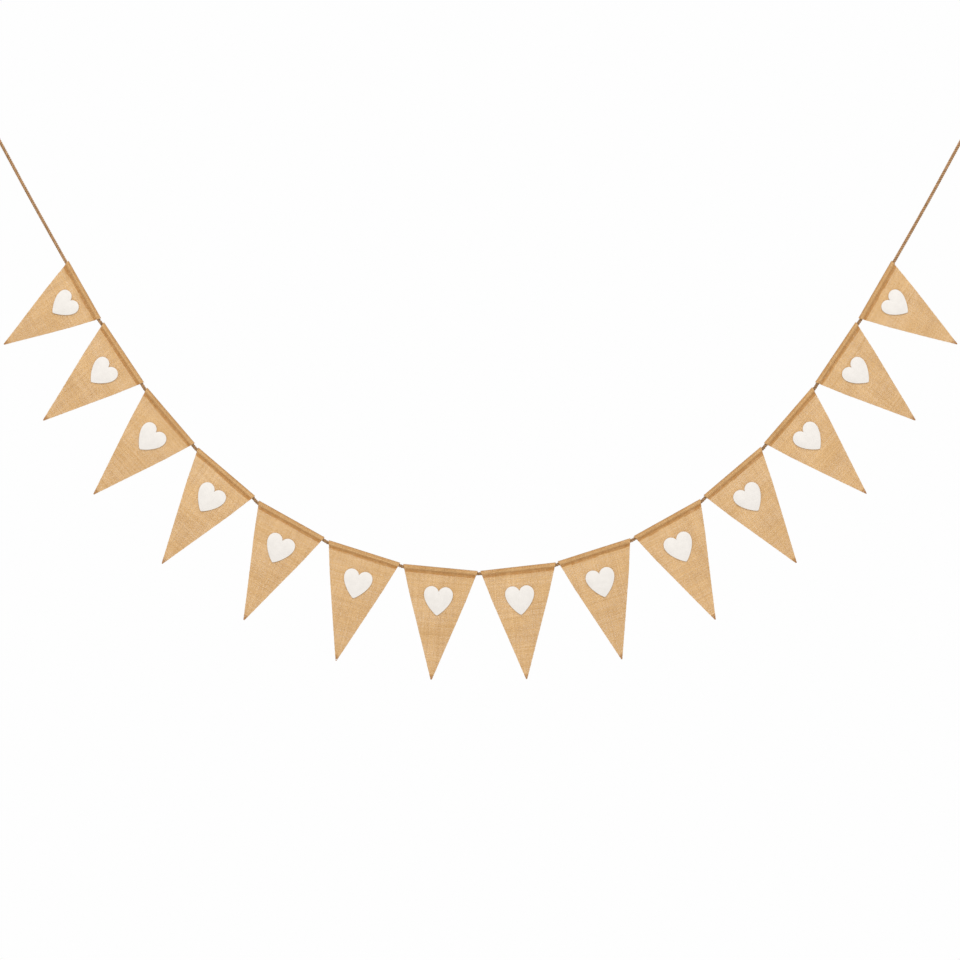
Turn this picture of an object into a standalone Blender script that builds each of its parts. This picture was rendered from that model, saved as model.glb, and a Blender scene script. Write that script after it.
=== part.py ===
"""Bunting of fourteen hessian pennants with felt hearts, threaded on a jute string.

The bunting hangs by a loop at each end of its string. The origin is the top of the left
loop's opening, where it rests on a hook. +X runs to the right hook, +Y to the back, +Z up.
Lengths are in metres.
"""
import math
from collections import namedtuple

import bmesh
import bpy
from mathutils import Vector
from mathutils.geometry import interpolate_bezier

COLLECTION_NAME = "fabric_bunting"

HOOK_SPAN = 1.770            # between the two hooks that carry the loops
STRING_DIAMETER = 0.0055
CLOTH_THICKNESS = 0.0013
FELT_THICKNESS = 0.0012
HEART_GAP = 0.0005           # between a heart and the cloth that it is sewn to

# Casing: the cloth goes over the string, and its two layers meet below it.
STRING_DEPTH = 0.0054        # from the fold line down to the string's axis
CASING_SLACK = 0.0006        # between the string and the cloth in front of it and behind
LAYERS_MEET_DEPTH = 0.0115   # from here down the layers lie together
FLAP_DEPTH = 0.0145          # from the fold line down to the flap's edge at the back
LAYER_GAP = 0.0004           # between the two layers of cloth
MOUTH_INSET = 0.0037         # from a straight-edged pennant's top corner to the casing's mouth
FLAP_INSET = 0.0008          # the flap is this much narrower than the panel, on each side

# Panel: the sides run straight to the tip, but for a slight draw-in at the shoulders.
SHOULDER_DRAW_IN = 0.0020
SHOULDER_LENGTH = 0.056
TIP_CUT = 0.0025             # the tip is blunt: this much of the point is missing

# Heart outline, drawn at this width with the origin at the heart's middle and +Y up.
HEART_DRAWN_WIDTH = 0.051
LOBE_CENTRE = Vector((0.0123, 0.0085))
LOBE_RADIUS = 0.01295
LOBE_END_DEG = 19.4          # the lobe's arc stops here, anticlockwise from +X
SIDE_HANDLE = Vector((0.0306, -0.0047))
TIP_HANDLE = Vector((0.0021, -0.0300))
HEART_TIP = Vector((0.0, -0.0291))
HEART_LEAN_SHARE = 1.5       # the heart's middle follows the panel's lean by this much

# Ends of the string: a hanging loop, a knot of a few wraps, and a short tail below it.
LOOP_LENGTH = 0.046          # from the knot's top to the string's axis at the loop's top
STRAND_OFFSET = 0.0029       # of the two strands in the knot, to each side of its middle
KNOT_WRAPS = 3
KNOT_END_RADIUS = 0.0055     # of the knot's flat ends, front to back

PANEL_ROWS = 9
CASING_ROWS = 3
FOLD_ROWS = 6
COLUMNS = 4
LOBE_STEPS = 5
SIDE_STEPS = 7
HEART_INNER_RING = 0.5       # share of the way from the heart's middle to its edge
KNOT_STEPS = 16
TUBE_RESOLUTION = 3

# The string's route in the plane y = 0, as x and z: down from the left knot, then into and
# out of the casing of each pennant in turn, and up to the right knot.
STRING_ROUTE = [
    (0.0286, -0.0531), (0.0564, -0.1048), (0.0963, -0.1789),
    (0.1606, -0.2943), (0.2161, -0.3924),
    (0.2229, -0.4021), (0.2913, -0.5047),
    (0.2991, -0.5168), (0.3804, -0.6117),
    (0.3892, -0.6218), (0.4862, -0.7047),
    (0.4964, -0.7151), (0.6086, -0.7779),
    (0.6193, -0.7844), (0.7416, -0.8231),
    (0.7508, -0.8260), (0.8784, -0.8381),
    (0.8866, -0.8378), (1.0157, -0.8233),
    (1.0230, -0.8206), (1.1470, -0.7810),
    (1.1567, -0.7758), (1.2705, -0.7123),
    (1.2796, -0.7037), (1.3773, -0.6208),
    (1.3855, -0.6114), (1.4681, -0.5158),
    (1.4754, -0.5045), (1.5447, -0.4016),
    (1.5513, -0.3921), (1.6076, -0.2940),
    (1.6676, -0.1879), (1.7253, -0.0817), (1.7409, -0.0528),
]
FIRST_MOUTH = 3              # the route's point at the first pennant's left mouth
CASING_STEPS = 1
FREE_STEPS = 2

# Half of a hanging loop, as the distance above the knot and to the side.
LOOP_ROUTE = [
    (0.0006, 0.0029), (0.0050, 0.0033), (0.0140, 0.0062),
    (0.0280, 0.0109), (0.0400, 0.0106), (0.0460, 0.0),
]
LOOP_STEPS = [1, 1, 2, 2, 2, 2, 2, 2, 1, 1]

# The tail, as the distance below the knot and to the side.
TAIL_ROUTE = [(0.0006, 0.0029), (0.0050, 0.0032), (0.0100, 0.0042), (0.0150, 0.0060)]

# Each pennant's hang. drop: fold line to point. lean: how far the point lies towards the
# right mouth. heart_drop: fold line to the heart's middle. swing: turn about the string,
# with the point going back. curl: how far the point stands back. twist: how far the right
# edge stands back, and the left edge forward. cup: how far the middle stands back.
Pennant = namedtuple("Pennant", "drop lean heart_drop heart_width swing_deg curl twist cup")
PENNANTS = [
    Pennant(0.1735, 0.0137, 0.0430, 0.0460, 2.0, -0.005, 0.0030, 0.0010),
    Pennant(0.1865, 0.0211, 0.0495, 0.0480, -1.5, 0.004, -0.0025, 0.0012),
    Pennant(0.1955, 0.0169, 0.0520, 0.0495, 1.0, -0.003, 0.0035, -0.0008),
    Pennant(0.1985, 0.0189, 0.0535, 0.0505, -2.5, 0.006, 0.0020, 0.0015),
    Pennant(0.1985, 0.0132, 0.0545, 0.0505, 1.5, -0.004, -0.0040, 0.0010),
    Pennant(0.2005, 0.0103, 0.0555, 0.0505, -0.5, 0.003, 0.0025, -0.0012),
    Pennant(0.2005, 0.0022, 0.0555, 0.0510, 2.0, -0.005, -0.0030, 0.0014),
    Pennant(0.2005, -0.0070, 0.0555, 0.0510, -1.0, 0.004, 0.0035, 0.0008),
    Pennant(0.2015, -0.0117, 0.0560, 0.0510, 1.5, 0.005, -0.0020, -0.0010),
    Pennant(0.1995, -0.0139, 0.0550, 0.0510, -2.0, -0.004, 0.0040, 0.0012),
    Pennant(0.1990, -0.0180, 0.0540, 0.0500, 0.5, 0.003, -0.0030, 0.0010),
    Pennant(0.1955, -0.0155, 0.0525, 0.0500, -1.5, -0.005, -0.0025, 0.0015),
    Pennant(0.1875, -0.0196, 0.0505, 0.0480, 2.5, 0.004, 0.0030, -0.0010),
    Pennant(0.1745, -0.0124, 0.0435, 0.0460, -1.0, -0.003, -0.0035, 0.0010),
]

# The string's ends. tilt: turn of the loop and knot about +Y, from upright. side: +1 where
# the knot's standing strand lies to its +X side, and -1 where it lies to its -X side.
StringEnd = namedtuple("StringEnd", "name hook_x tilt_deg side")
STRING_ENDS = [
    StringEnd("left", 0.0, -25.5, 1),
    StringEnd("right", HOOK_SPAN, 26.1, -1),
]

STRING_RADIUS = STRING_DIAMETER / 2
CASING_REACH = STRING_RADIUS + CASING_SLACK + CLOTH_THICKNESS / 2  # string's axis to the cloth
CASING_RISE = STRING_DEPTH - CLOTH_THICKNESS / 2                   # the same, upwards
LAYER_OFFSET = (CLOTH_THICKNESS + LAYER_GAP) / 2
HEART_OFFSET = LAYER_OFFSET + CLOTH_THICKNESS / 2 + HEART_GAP + FELT_THICKNESS / 2
WAVE_SCALE = 27 / 4                                                # share^2 (1 - share) peaks at 4/27
KNOT_LENGTH = KNOT_WRAPS * STRING_DIAMETER
KNOT_TOP = STRING_RADIUS - LOOP_LENGTH                             # below the hook's point
KNOT_BOTTOM = KNOT_TOP - KNOT_LENGTH
KNOT_DEPTH = 3 * STRING_DIAMETER                                   # a strand with a wrap on each side
KNOT_WIDTH = 2 * STRAND_OFFSET + KNOT_DEPTH


def clear_scene():
    for old in list(bpy.data.objects):
        bpy.data.objects.remove(old, do_unlink=True)


def make_material(name, colour, roughness):
    material = bpy.data.materials.new(name)
    material.use_nodes = True
    shader = material.node_tree.nodes["Principled BSDF"]
    shader.inputs["Base Color"].default_value = (*colour, 1.0)
    shader.inputs["Roughness"].default_value = roughness
    shader.inputs["Metallic"].default_value = 0.0
    return material


def add_object(name, data, collection, parent, location=(0, 0, 0), rotation=(0, 0, 0)):
    piece = bpy.data.objects.new(name, data)
    collection.objects.link(piece)
    piece.parent = parent
    piece.location = location
    piece.rotation_euler = rotation
    return piece


def finish_mesh(bm, name, material):
    mesh = bpy.data.meshes.new(name)
    bm.to_mesh(mesh)
    bm.free()
    mesh.materials.append(material)
    mesh.shade_smooth()
    mesh.set_sharp_from_angle(angle=math.radians(40))
    return mesh


def thicken(piece, thickness):
    solidify = piece.modifiers.new("Thickness", "SOLIDIFY")
    solidify.thickness = thickness
    solidify.offset = 0.0


def smooth_path(points, steps):
    """Points on a smooth curve through points, with steps[i] pieces in its i-th span."""
    last = len(points) - 1
    path = [points[0]]
    for i in range(last):
        start = points[i]
        end = points[i + 1]
        leave = (end - points[max(i - 1, 0)]).normalized()
        arrive = (points[min(i + 2, last)] - start).normalized()
        handle = (end - start).length / 3
        span = interpolate_bezier(
            start, start + leave * handle, end - arrive * handle, end, steps[i] + 1)
        path += span[1:]
    return path


def half_layer_gap(depth):
    """Half the distance between the casing's two layers, at a depth below the fold line."""
    share = (depth - STRING_DEPTH) / (LAYERS_MEET_DEPTH - STRING_DEPTH)
    share = min(max(share, 0.0), 1.0)
    return LAYER_OFFSET + (CASING_REACH - LAYER_OFFSET) * (1 + math.cos(math.pi * share)) / 2


def cloth_rows(drop):
    """Depth below the fold line and distance to the back of each row of a pennant's cloth.

    The rows run from the tip up the front, over the string and down the flap at the back.
    """
    panel_length = drop - TIP_CUT - LAYERS_MEET_DEPTH
    casing_length = LAYERS_MEET_DEPTH - STRING_DEPTH
    panel = [LAYERS_MEET_DEPTH + panel_length * k / PANEL_ROWS for k in range(PANEL_ROWS, 0, -1)]
    casing = [STRING_DEPTH + casing_length * k / CASING_ROWS for k in range(CASING_ROWS, -1, -1)]
    turns = [math.pi * k / FOLD_ROWS for k in range(1, FOLD_ROWS)]
    front = [(depth, -half_layer_gap(depth)) for depth in panel + casing]
    fold = [(STRING_DEPTH - CASING_RISE * math.sin(turn), -CASING_REACH * math.cos(turn))
            for turn in turns]
    back = [(depth, half_layer_gap(depth)) for depth in reversed(casing)]
    return front + fold + back + [(FLAP_DEPTH, LAYER_OFFSET)]


def half_width(top_width, drop, depth):
    """Half the pennant's width at a depth below the fold line."""
    draw_in = SHOULDER_DRAW_IN * max(0.0, 1 - depth / SHOULDER_LENGTH)
    return top_width / 2 * (1 - depth / drop) - draw_in


def panel_bulge(pennant, across, depth):
    """How far the panel stands back from flat, across being -1 to 1 from edge to edge."""
    share = max(0.0, (depth - FLAP_DEPTH) / (pennant.drop - FLAP_DEPTH))
    wave = WAVE_SCALE * share ** 2 * (1 - share)
    sway = pennant.twist * across + pennant.cup * (1 - across ** 2)
    return pennant.curl * share ** 2 + sway * wave


def pennant_mesh(name, pennant, top_width, material):
    """The cloth as one sheet. X runs along the string, whose axis is y = z = 0."""
    rows = cloth_rows(pennant.drop)
    bm = bmesh.new()
    bmesh.ops.create_grid(bm, x_segments=COLUMNS, y_segments=len(rows) - 1, size=1.0)
    for vert in bm.verts:
        row = round((vert.co.y + 1) / 2 * (len(rows) - 1))
        depth, back = rows[row]
        half = half_width(top_width, pennant.drop, depth)
        if back > 0:
            half -= FLAP_INSET
        side = vert.co.x * half
        if back < 0:
            back += panel_bulge(pennant, side / (top_width / 2), depth)
        vert.co = (side + pennant.lean * depth / pennant.drop, back, STRING_DEPTH - depth)
    return finish_mesh(bm, name, material)


def heart_outline(width):
    """Points round the heart, from the notch down the right side and up the left one."""
    scale = width / HEART_DRAWN_WIDTH
    notch_turn = math.acos(-LOBE_CENTRE.x / LOBE_RADIUS)
    end_turn = math.radians(LOBE_END_DEG)
    right = []
    for k in range(LOBE_STEPS):
        turn = notch_turn + (end_turn - notch_turn) * k / LOBE_STEPS
        right.append(LOBE_CENTRE + LOBE_RADIUS * Vector((math.cos(turn), math.sin(turn))))
    lobe_end = LOBE_CENTRE + LOBE_RADIUS * Vector((math.cos(end_turn), math.sin(end_turn)))
    right += interpolate_bezier(lobe_end, SIDE_HANDLE, TIP_HANDLE, HEART_TIP, SIDE_STEPS + 1)
    left = [Vector((-point.x, point.y)) for point in right[-2:0:-1]]
    return [Vector((point.x, point.y)) * scale for point in right + left]


def heart_mesh(name, pennant, top_width, middle, turn, material):
    """The felt heart as one sheet that follows the panel, with its origin at its middle."""
    outline = heart_outline(pennant.heart_width)
    bm = bmesh.new()
    bmesh.ops.create_circle(bm, cap_ends=True, segments=len(outline), radius=1.0)
    bmesh.ops.inset_region(bm, faces=bm.faces[:], thickness=1 - HEART_INNER_RING)
    inner = max(bm.faces, key=lambda face: len(face.verts))
    bmesh.ops.poke(bm, faces=[inner])
    for vert in bm.verts:
        angle = math.atan2(vert.co.x, vert.co.y)
        step = round(angle / (2 * math.pi) * len(outline)) % len(outline)
        flat = outline[step] * vert.co.length
        along = middle.x + flat.x * math.cos(turn) + flat.y * math.sin(turn)
        depth = STRING_DEPTH - (middle.z - flat.x * math.sin(turn) + flat.y * math.cos(turn))
        across = (along - pennant.lean * depth / pennant.drop) / (top_width / 2)
        vert.co = (flat.x, panel_bulge(pennant, across, depth) - HEART_OFFSET, flat.y)
    return finish_mesh(bm, name, material)


def add_pennant(number, pennant, mouths, materials, collection, root):
    """A pennant between its two mouths, with its heart."""
    left, right = mouths
    along = right - left
    top_width = along.length + 2 * MOUTH_INSET
    name = f"pennant_{number:02d}"
    cloth = add_object(
        name, pennant_mesh(name, pennant, top_width, materials["hessian"]), collection, root,
        (left + right) / 2,
        (math.radians(pennant.swing_deg), -math.atan2(along.z, along.x), 0.0))
    thicken(cloth, CLOTH_THICKNESS)

    name = f"heart_{number:02d}"
    side = HEART_LEAN_SHARE * pennant.lean * pennant.heart_drop / pennant.drop
    middle = Vector((side, 0.0, STRING_DEPTH - pennant.heart_drop))
    turn = -math.atan(pennant.lean / pennant.drop)
    mesh = heart_mesh(name, pennant, top_width, middle, turn, materials["felt"])
    heart = add_object(name, mesh, collection, cloth, middle, (0.0, turn, 0.0))
    thicken(heart, FELT_THICKNESS)


def add_tube(name, path, material, collection, parent):
    curve = bpy.data.curves.new(name, "CURVE")
    curve.dimensions = "3D"
    curve.bevel_depth = STRING_RADIUS
    curve.bevel_resolution = TUBE_RESOLUTION
    curve.use_fill_caps = True
    curve.materials.append(material)
    spline = curve.splines.new("POLY")
    spline.points.add(len(path) - 1)
    for point, place in zip(spline.points, path):
        point.co = (*place, 1.0)
    spline.use_smooth = True
    return add_object(name, curve, collection, parent)


def knot_mesh(name, material):
    """Outer side of the knot, from its flat top down: one ridge for each wrap."""
    profile = [(0.0, 0.0), (KNOT_END_RADIUS, 0.0)]
    for wrap in range(KNOT_WRAPS):
        for share in (0.2, 0.5, 0.8):
            radius = KNOT_DEPTH / 2 - STRING_RADIUS * (1 - math.sin(math.pi * share))
            profile.append((radius, -(wrap + share) * STRING_DIAMETER))
    profile += [(KNOT_END_RADIUS, -KNOT_LENGTH), (0.0, -KNOT_LENGTH)]
    bm = bmesh.new()
    verts = [bm.verts.new((radius, 0.0, height)) for radius, height in profile]
    for upper, lower in zip(verts, verts[1:]):
        bm.edges.new((upper, lower))
    return finish_mesh(bm, name, material)


def add_knot(name, material, collection, parent):
    knot = add_object(name, knot_mesh(name, material), collection, parent, (0, 0, KNOT_TOP))
    knot.scale = (KNOT_WIDTH / KNOT_DEPTH, 1.0, 1.0)
    screw = knot.modifiers.new("Turn", "SCREW")
    screw.steps = KNOT_STEPS
    screw.render_steps = KNOT_STEPS
    screw.use_merge_vertices = True
    screw.merge_threshold = 0.0001
    screw.use_smooth_shade = True


def add_string_end(end, material, collection, root):
    """Loop, knot and tail in the hook's own frame, with -Z running down the loop."""
    hook = add_object(f"hook_{end.name}", None, collection, root,
                      (end.hook_x, 0.0, 0.0), (0.0, math.radians(end.tilt_deg), 0.0))
    near = [Vector((end.side * side, 0.0, KNOT_TOP + up)) for up, side in LOOP_ROUTE]
    far = [Vector((-point.x, 0.0, point.z)) for point in near[-2::-1]]
    add_tube(f"loop_{end.name}", smooth_path(near + far, LOOP_STEPS), material, collection, hook)
    add_knot(f"knot_{end.name}", material, collection, hook)
    tail = [Vector((-end.side * side, 0.0, KNOT_BOTTOM - down)) for down, side in TAIL_ROUTE]
    add_tube(f"tail_{end.name}", tail, material, collection, hook)


def main():
    clear_scene()
    collection = bpy.data.collections.new(COLLECTION_NAME)
    bpy.context.scene.collection.children.link(collection)
    materials = {
        "hessian": make_material("hessian", (0.62, 0.40, 0.21), 0.9),
        "felt": make_material("felt", (0.86, 0.84, 0.78), 0.95),
        "jute_string": make_material("jute_string", (0.40, 0.25, 0.13), 0.85),
    }
    root = add_object("bunting", None, collection, None)

    route = [Vector((x, 0.0, z)) for x, z in STRING_ROUTE]
    steps = [FREE_STEPS] * (len(route) - 1)
    for index, pennant in enumerate(PENNANTS):
        mouth = FIRST_MOUTH + 2 * index
        steps[mouth] = CASING_STEPS
        mouths = (route[mouth], route[mouth + 1])
        add_pennant(index + 1, pennant, mouths, materials, collection, root)

    string_material = materials["jute_string"]
    add_tube("string", smooth_path(route, steps), string_material, collection, root)
    for end in STRING_ENDS:
        add_string_end(end, string_material, collection, root)


main()
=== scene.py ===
import math
from collections import namedtuple

import bmesh
import bpy
import numpy as np
from mathutils import Euler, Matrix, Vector
from mathutils.geometry import interpolate_bezier


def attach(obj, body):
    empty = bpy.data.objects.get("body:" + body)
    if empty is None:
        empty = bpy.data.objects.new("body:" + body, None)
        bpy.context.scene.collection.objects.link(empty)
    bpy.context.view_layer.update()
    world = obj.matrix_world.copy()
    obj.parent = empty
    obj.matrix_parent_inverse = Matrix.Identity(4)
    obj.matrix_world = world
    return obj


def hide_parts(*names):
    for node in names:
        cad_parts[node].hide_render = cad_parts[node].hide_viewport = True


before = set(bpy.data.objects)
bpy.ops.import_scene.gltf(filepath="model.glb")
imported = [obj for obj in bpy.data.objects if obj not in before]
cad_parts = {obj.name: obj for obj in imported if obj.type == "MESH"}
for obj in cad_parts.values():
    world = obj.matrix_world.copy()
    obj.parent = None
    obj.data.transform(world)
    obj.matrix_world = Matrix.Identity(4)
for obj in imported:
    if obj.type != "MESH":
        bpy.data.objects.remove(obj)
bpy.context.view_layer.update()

MM = 0.001

# Camera: square on to the bunting, which hangs in the plane y = 0.
VIEW_CENTRE = Vector((0.8841, 0.0, -0.6741))
VIEW_WIDTH = 1.68            # of the plane y = 0 that the frame shows
CAMERA_DISTANCE = 4.2
SENSOR_WIDTH = 36.0
FLOOR_HEIGHT = -2.1
FLOOR_FRONT = -4.0
FLOOR_BACK = 2.8
FLOOR_HALF_WIDTH = 3.6
BACKDROP = 0.991             # brightness of the white behind the bunting, as the camera sees it
AMBIENT = 0.70               # brightness of the same white as a light
KEY_PLACE = Vector((0.885, -3.5, 2.06))
KEY_SIZE = 3.8
KEY_POWER = 130.0

# String: three plies twisted together, tied into a loop at each end.
HOOK_SPAN = 1.770
STRING_DIAMETER = 0.0055
STRING_RADIUS = STRING_DIAMETER / 2
PLIES = 3
PLY_REACH = STRING_RADIUS * 1.13         # the plies' crests stand proud of the plain string
PLY_RADIUS = PLY_REACH / (1 + 2 / math.sqrt(3))
PLY_OFFSET = PLY_REACH - PLY_RADIUS
TWIST_LENGTH = 0.0112        # the string's length in one full turn of its plies
TWIST_WANDER = 0.35          # radians, to each side of an even twist
PLY_FULLNESS = 1.03          # plies this much thicker than a close fit press together
PLY_SPREAD = 0.05            # of a ply's thickness, along its length
PLY_SIDES = 8
STRING_STEP = 0.0009
CASING_STEP = 0.0022         # the same, where the string runs hidden in a casing
CORD_POINT_STEP = 0.006      # between the points that describe the string's line
GAP_REACH = 0.012            # from a casing, where painted shade darkens a short gap's string
GAP_SHADE = 3.0              # painted shade, by this much next to the casing

# The string's route in the plane y = 0, as x and z: down from the left knot, then into and
# out of the casing of each pennant in turn, and up to the right knot.
STRING_ROUTE = [
    (0.0286, -0.0531), (0.0564, -0.1048), (0.0963, -0.1789),
    (0.1606, -0.2943), (0.2161, -0.3924),
    (0.2229, -0.4021), (0.2913, -0.5047),
    (0.2991, -0.5168), (0.3804, -0.6117),
    (0.3892, -0.6218), (0.4862, -0.7047),
    (0.4964, -0.7151), (0.6086, -0.7779),
    (0.6193, -0.7844), (0.7416, -0.8231),
    (0.7508, -0.8260), (0.8784, -0.8381),
    (0.8866, -0.8378), (1.0157, -0.8233),
    (1.0230, -0.8206), (1.1470, -0.7810),
    (1.1567, -0.7758), (1.2705, -0.7123),
    (1.2796, -0.7037), (1.3773, -0.6208),
    (1.3855, -0.6114), (1.4681, -0.5158),
    (1.4754, -0.5045), (1.5447, -0.4016),
    (1.5513, -0.3921), (1.6076, -0.2940),
    (1.6676, -0.1879), (1.7253, -0.0817), (1.7409, -0.0528),
]
FIRST_MOUTH = 3              # the route's point at the first pennant's left mouth

# Ends of the string. Loop: distance above the knot and to the side, for one half of it.
# Tail: distance below the knot and to the side.
LOOP_ROUTE = [
    (0.0050, 0.0033), (0.0140, 0.0062), (0.0280, 0.0109), (0.0400, 0.0106), (0.0460, 0.0),
]
TAIL_ROUTE = [(0.0050, 0.0032), (0.0100, 0.0042), (0.0150, 0.0060)]
LOOP_LENGTH = 0.046          # from the knot's top to the string's axis at the loop's top
STRAND_OFFSET = 0.0029       # of the two strands in the knot, to each side of its middle
KNOT_WRAPS = 3
HIDDEN_WRAP = 0.4            # of a turn, tucked away at the wraps' two ends
WRAP_STEPS = 52              # for each turn
TUCKED_REACH = 0.45          # of the wraps' radius, where their ends go in between the strands
KNOT_LENGTH = KNOT_WRAPS * STRING_DIAMETER
KNOT_TOP = STRING_RADIUS - LOOP_LENGTH
KNOT_BOTTOM = KNOT_TOP - KNOT_LENGTH
StringEnd = namedtuple("StringEnd", "name hook_x tilt_deg side")
STRING_ENDS = [
    StringEnd("left", 0.0, -25.5, 1),
    StringEnd("right", HOOK_SPAN, 26.1, -1),
]

# Cloth: the same casing and panel as the frame's pennants.
CLOTH_THICKNESS = 0.0013
STRING_DEPTH = 0.0054        # from the fold line down to the string's axis
CASING_SLACK = 0.0006        # between the string and the cloth in front of it and behind
LAYERS_MEET_DEPTH = 0.0115   # from here down the layers lie together
FLAP_DEPTH = 0.0145          # from the fold line down to the flap's edge at the back
LAYER_GAP = 0.0004           # between the two layers of cloth
MOUTH_INSET = 0.0037         # from a straight-edged pennant's top corner to the casing's mouth
FLAP_INSET = 0.0008          # the flap is this much narrower than the panel, on each side
SHOULDER_DRAW_IN = 0.0020
SHOULDER_LENGTH = 0.056
TIP_CUT = 0.0025             # the tip is blunt: this much of the point is missing
CASING_REACH = STRING_RADIUS + CASING_SLACK + CLOTH_THICKNESS / 2
CASING_RISE = STRING_DEPTH - CLOTH_THICKNESS / 2
LAYER_OFFSET = (CLOTH_THICKNESS + LAYER_GAP) / 2
WAVE_SCALE = 27 / 4          # makes the highest value of share ** 2 * (1 - share) 1

# Weave: flat jute yarns, over one and under one. The weft runs across, and lies closer. The
# place spreads are shares of a yarn's pitch, and the width and height spreads of its size. A
# weft is cut at the cloth's edge, give or take its spread, and a warp ends so many pitches past
# its last crossing.
WARP_PITCH = 0.0024
WARP_WIDTH = 0.00139
WEFT_PITCH = 0.0020
WEFT_WIDTH = 0.00184
YARN_HEIGHT = 0.00044
YARN_SIDES = 4
CRIMP = 0.00025              # of a yarn's middle, to each side of the cloth's middle
DRIFT = 0.0005               # of the yarns from their straight lines
DRIFT_LENGTH = 0.07          # of one wave of the drift, about
DRIFT_WAVES = 4
WARP_PLACE_SPREAD = 0.07
WEFT_PLACE_SPREAD = 0.015
WEFT_CUT_SPREAD = (-0.0001, 0.0002)
WEFT_END_LEAST = 0.0002      # from a weft's outermost crossing to its end
WARP_END_PITCHES = (0.15, 0.4)
WIDTH_SPREAD = 0.035
HEIGHT_SPREAD = 0.08
WARP_TONE_SPREAD = 0.65
WEFT_TONE_SPREAD = 0.35
SHARP_DEG = 80               # edges of a thread that turn by more than this stay sharp
ROUNDNESS = 4.0              # of a thread's top, in the bump that is added to its few sides

# Tone of the cloth, where 1 is the full painted shade of cloth that lies double. The point
# takes the same darker colour. Depths are below the fold line.
BAND_DEPTH = 0.0137          # the darker band of painted shade ends just above the flap's edge
CASING_SHADE = 0.22           # painted shade on all the casing; the fold's and the flap's add to it
FOLD_SHADE = 0.45
FOLD_SHADE_END = 0.0044
FOLD_SHADE_FADE = 0.0010
FLAP_SHADE = 0.78
FLAP_SHADE_START = 0.0060
FLAP_SHADE_FADE = 0.0022
TIP_BINDING = 0.0110         # length of the point, where the yarns' ends cling together
TIP_FADE = 1.5               # above 1, so that the tint is full on the last third of the point
TIP_DARKENING = 5.0          # of the yarns' own tone there, at most

# Loose fibres that stand off the yarns and the string. Lengths are the least and the most.
FIBRE_WIDTH = 0.00009
FIBRE_TAPER = np.array([1.0, 0.95, 0.85, 0.7, 0.4])
EDGE_FIBRES = 90             # of each pennant
FACE_FIBRES = 90
STRING_FIBRES = 700
KNOT_FIBRES = 40
TAIL_FIBRES = 45             # at each cut end of the string
CLOTH_FIBRE_LENGTHS = (0.0012, 0.0035)
STRING_FIBRE_LENGTHS = (0.0008, 0.0018)
TAIL_FIBRE_LENGTHS = (0.0007, 0.0019)

STRING_SEED = 11
TAIL_SEED = 12
CLOTH_SEED = 100             # to which a pennant's number is added

# Felt heart.
FELT_THICKNESS = 0.0012
HEART_GAP = 0.0005
HEART_DRAWN_WIDTH = 0.051
LOBE_CENTRE = Vector((0.0123, 0.0085))
LOBE_RADIUS = 0.01295
LOBE_END_DEG = 19.4          # the lobe's arc stops here, anticlockwise from +X
SIDE_HANDLE = Vector((0.0306, -0.0047))
TIP_HANDLE = Vector((0.0021, -0.0300))
HEART_TIP = Vector((0.0, -0.0291))
HEART_LEAN_SHARE = 1.5       # the heart's middle follows the panel's lean by this much
HEART_OFFSET = LAYER_OFFSET + CLOTH_THICKNESS / 2 + HEART_GAP + FELT_THICKNESS / 2
LOBE_STEPS = 18
SIDE_STEPS = 30
HEART_RINGS = 6
FELT_ROUNDING = 0.00035

# Each pennant's hang. drop: fold line to point. lean: how far the point lies towards the
# right mouth. heart_drop: fold line to the heart's middle. swing: turn about the string,
# with the point going back. curl: how far the point stands back. twist: how far the right
# edge stands back, and the left edge forward. cup: how far the middle stands back.
Pennant = namedtuple("Pennant", "drop lean heart_drop heart_width swing_deg curl twist cup")
PENNANTS = [
    Pennant(0.1735, 0.0137, 0.0430, 0.0460, 2.0, -0.005, 0.0030, 0.0010),
    Pennant(0.1865, 0.0211, 0.0495, 0.0480, -1.5, 0.004, -0.0025, 0.0012),
    Pennant(0.1955, 0.0169, 0.0520, 0.0495, 1.0, -0.003, 0.0035, -0.0008),
    Pennant(0.1985, 0.0189, 0.0535, 0.0505, -2.5, 0.006, 0.0020, 0.0015),
    Pennant(0.1985, 0.0132, 0.0545, 0.0505, 1.5, -0.004, -0.0040, 0.0010),
    Pennant(0.2005, 0.0103, 0.0555, 0.0505, -0.5, 0.003, 0.0025, -0.0012),
    Pennant(0.2005, 0.0022, 0.0555, 0.0510, 2.0, -0.005, -0.0030, 0.0014),
    Pennant(0.2005, -0.0070, 0.0555, 0.0510, -1.0, 0.004, 0.0035, 0.0008),
    Pennant(0.2015, -0.0117, 0.0560, 0.0510, 1.5, 0.005, -0.0020, -0.0010),
    Pennant(0.1995, -0.0139, 0.0550, 0.0510, -2.0, -0.004, 0.0040, 0.0012),
    Pennant(0.1990, -0.0180, 0.0540, 0.0500, 0.5, 0.003, -0.0030, 0.0010),
    Pennant(0.1955, -0.0155, 0.0525, 0.0500, -1.5, -0.005, -0.0025, 0.0015),
    Pennant(0.1875, -0.0196, 0.0505, 0.0480, 2.5, 0.004, 0.0030, -0.0010),
    Pennant(0.1745, -0.0124, 0.0435, 0.0460, -1.0, -0.003, -0.0035, 0.0010),
]


def make_camera():
    lens = bpy.data.cameras.new("camera")
    lens.sensor_width = SENSOR_WIDTH
    lens.lens = SENSOR_WIDTH * CAMERA_DISTANCE / VIEW_WIDTH
    camera = bpy.data.objects.new("camera", lens)
    camera.location = VIEW_CENTRE + Vector((0.0, -CAMERA_DISTANCE, 0.0))
    camera.rotation_euler = (math.radians(90), 0.0, 0.0)
    bpy.context.scene.collection.objects.link(camera)
    bpy.context.scene.camera = camera


# Threads: every yarn and ply is a closed tube along its own line.


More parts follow.
